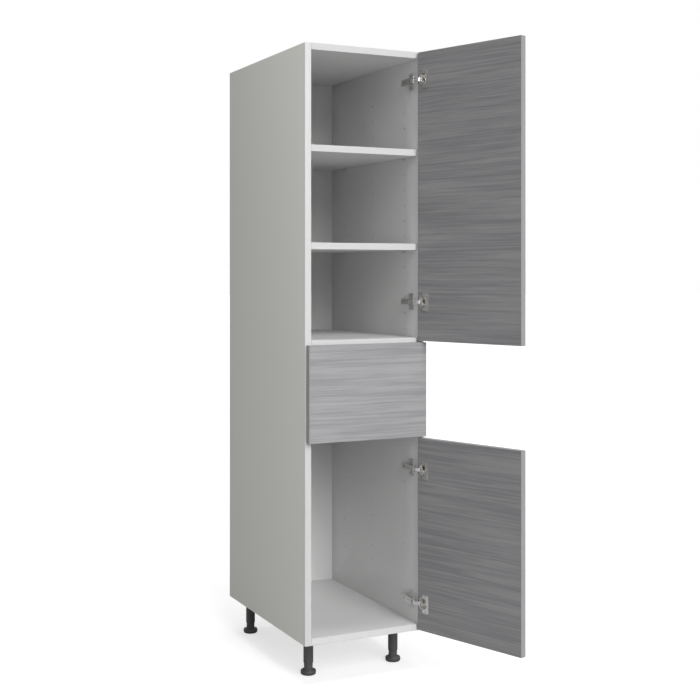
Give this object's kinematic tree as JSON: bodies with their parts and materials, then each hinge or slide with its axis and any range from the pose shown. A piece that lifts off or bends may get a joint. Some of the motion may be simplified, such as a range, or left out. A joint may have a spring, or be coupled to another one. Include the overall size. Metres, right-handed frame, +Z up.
{
  "type": "pantry cabinet",
  "caption": "Tall frameless pantry cabinet on levelling legs, with an upper and a lower wood-grain door on concealed hinges, open, and a drawer between them.",
  "frame": {"origin": "on the floor, at the centre of the front left foot's sole", "axes": "+Z up, +Y towards the back of the cabinet, +X to the right for someone facing the fronts"},
  "size_m": [0.4962, 0.9639, 1.8097],
  "materials": {
    "white_melamine": "white melamine-faced board with a fine satin texture",
    "grey_wood_grain_laminate": "grey textured laminate with horizontal wood grain",
    "nickel_plated_steel": "bright nickel-plated pressed steel",
    "zinc_plated_steel": "zinc-plated steel",
    "leg_plastic": "dark grey moulded plastic"
  },
  "bodies": {
    "carcass": {"left_side_panel": "white_melamine", "right_side_panel": "white_melamine", "top_panel": "white_melamine", "bottom_panel": "white_melamine", "drawer_deck": "white_melamine", "back_panel": "white_melamine", "lower_shelf": "white_melamine", "upper_shelf": "white_melamine", "lower_shelf_pin_front_left": "zinc_plated_steel", "lower_shelf_pin_front_right": "zinc_plated_steel", "lower_shelf_pin_rear_left": "zinc_plated_steel", "lower_shelf_pin_rear_right": "zinc_plated_steel", "upper_shelf_pin_front_left": "zinc_plated_steel", "upper_shelf_pin_front_right": "zinc_plated_steel", "upper_shelf_pin_rear_left": "zinc_plated_steel", "upper_shelf_pin_rear_right": "zinc_plated_steel", "front_left_leg_socket": "leg_plastic", "front_left_leg_tube": "leg_plastic", "front_right_leg_socket": "leg_plastic", "front_right_leg_tube": "leg_plastic", "rear_left_leg_socket": "leg_plastic", "rear_left_leg_tube": "leg_plastic", "rear_right_leg_socket": "leg_plastic", "rear_right_leg_tube": "leg_plastic", "upper_door_top_hinge_plate": "zinc_plated_steel", "upper_door_top_hinge_arm": "nickel_plated_steel", "upper_door_bottom_hinge_plate": "zinc_plated_steel", "upper_door_bottom_hinge_arm": "nickel_plated_steel", "lower_door_top_hinge_plate": "zinc_plated_steel", "lower_door_top_hinge_arm": "nickel_plated_steel", "lower_door_bottom_hinge_plate": "zinc_plated_steel", "lower_door_bottom_hinge_arm": "nickel_plated_steel", "left_runner_cabinet_member": "zinc_plated_steel", "right_runner_cabinet_member": "zinc_plated_steel"},
    "drawer": {"drawer_front": "grey_wood_grain_laminate", "drawer_inner_front": "white_melamine", "drawer_left_side": "white_melamine", "drawer_right_side": "white_melamine", "drawer_back": "white_melamine", "drawer_bottom": "white_melamine", "left_runner_drawer_member": "zinc_plated_steel", "right_runner_drawer_member": "zinc_plated_steel"},
    "left_runner_middle": {"left_runner_middle_member": "zinc_plated_steel"},
    "right_runner_middle": {"right_runner_middle_member": "zinc_plated_steel"},
    "upper_door": {"upper_door": "grey_wood_grain_laminate", "upper_door_top_hinge_cup": "nickel_plated_steel", "upper_door_bottom_hinge_cup": "nickel_plated_steel"},
    "lower_door": {"lower_door": "grey_wood_grain_laminate", "lower_door_top_hinge_cup": "nickel_plated_steel", "lower_door_bottom_hinge_cup": "nickel_plated_steel"},
    "upper_door_top_link": {"upper_door_top_hinge_link": "nickel_plated_steel"},
    "upper_door_bottom_link": {"upper_door_bottom_hinge_link": "nickel_plated_steel"},
    "lower_door_top_link": {"lower_door_top_hinge_link": "nickel_plated_steel"},
    "lower_door_bottom_link": {"lower_door_bottom_hinge_link": "nickel_plated_steel"},
    "front_left_leg_foot": {"front_left_leg_foot": "leg_plastic"},
    "front_right_leg_foot": {"front_right_leg_foot": "leg_plastic"},
    "rear_left_leg_foot": {"rear_left_leg_foot": "leg_plastic"},
    "rear_right_leg_foot": {"rear_right_leg_foot": "leg_plastic"}
  },
  "joints": [
    {"name": "upper_door_hinge", "type": "hinge", "parent": "carcass", "child": "upper_door", "pos_m": [0.313, -0.1175, 1.38528], "axis": [0, 0, 1], "range_deg": [-109, 0]},
    {"name": "lower_door_hinge", "type": "hinge", "parent": "carcass", "child": "lower_door", "pos_m": [0.313, -0.1175, 0.39945], "axis": [0, 0, 1], "range_deg": [-109, 0]},
    {"name": "upper_door_top_link_pivot", "type": "hinge", "parent": "carcass", "child": "upper_door_top_link", "pos_m": [0.2885, -0.1065, 1.72675], "axis": [0, 0, 1], "range_deg": [0, 28.1]},
    {"name": "upper_door_bottom_link_pivot", "type": "hinge", "parent": "carcass", "child": "upper_door_bottom_link", "pos_m": [0.2885, -0.1065, 1.0773], "axis": [0, 0, 1], "range_deg": [0, 28.1]},
    {"name": "lower_door_top_link_pivot", "type": "hinge", "parent": "carcass", "child": "lower_door_top_link", "pos_m": [0.2885, -0.1065, 0.5881], "axis": [0, 0, 1], "range_deg": [0, 28.1]},
    {"name": "lower_door_bottom_link_pivot", "type": "hinge", "parent": "carcass", "child": "lower_door_bottom_link", "pos_m": [0.2885, -0.1065, 0.1988], "axis": [0, 0, 1], "range_deg": [0, 28.1]},
    {"name": "drawer_slide", "type": "slide", "parent": "carcass", "child": "drawer", "axis": [0, -1, 0], "range_m": [0, 0.45]},
    {"name": "left_runner_slide", "type": "slide", "parent": "carcass", "child": "left_runner_middle", "axis": [0, -1, 0], "range_m": [0, 0.226]},
    {"name": "right_runner_slide", "type": "slide", "parent": "carcass", "child": "right_runner_middle", "axis": [0, -1, 0], "range_m": [0, 0.226]},
    {"name": "front_left_leg_height", "type": "slide", "parent": "carcass", "child": "front_left_leg_foot", "axis": [0, 0, -1], "range_m": [-0.012, 0.015]},
    {"name": "front_right_leg_height", "type": "slide", "parent": "carcass", "child": "front_right_leg_foot", "axis": [0, 0, -1], "range_m": [-0.012, 0.015]},
    {"name": "rear_left_leg_height", "type": "slide", "parent": "carcass", "child": "rear_left_leg_foot", "axis": [0, 0, -1], "range_m": [-0.012, 0.015]},
    {"name": "rear_right_leg_height", "type": "slide", "parent": "carcass", "child": "rear_right_leg_foot", "axis": [0, 0, -1], "range_m": [-0.012, 0.015]}
  ],
  "couplings": [
    {"joint": "upper_door_top_link_pivot", "follows": "upper_door_hinge", "ratio": -0.25688},
    {"joint": "upper_door_bottom_link_pivot", "follows": "upper_door_hinge", "ratio": -0.25688},
    {"joint": "lower_door_top_link_pivot", "follows": "lower_door_hinge", "ratio": -0.25688},
    {"joint": "lower_door_bottom_link_pivot", "follows": "lower_door_hinge", "ratio": -0.25688},
    {"joint": "left_runner_slide", "follows": "drawer_slide", "ratio": 0.5},
    {"joint": "right_runner_slide", "follows": "drawer_slide", "ratio": 0.5}
  ]
}
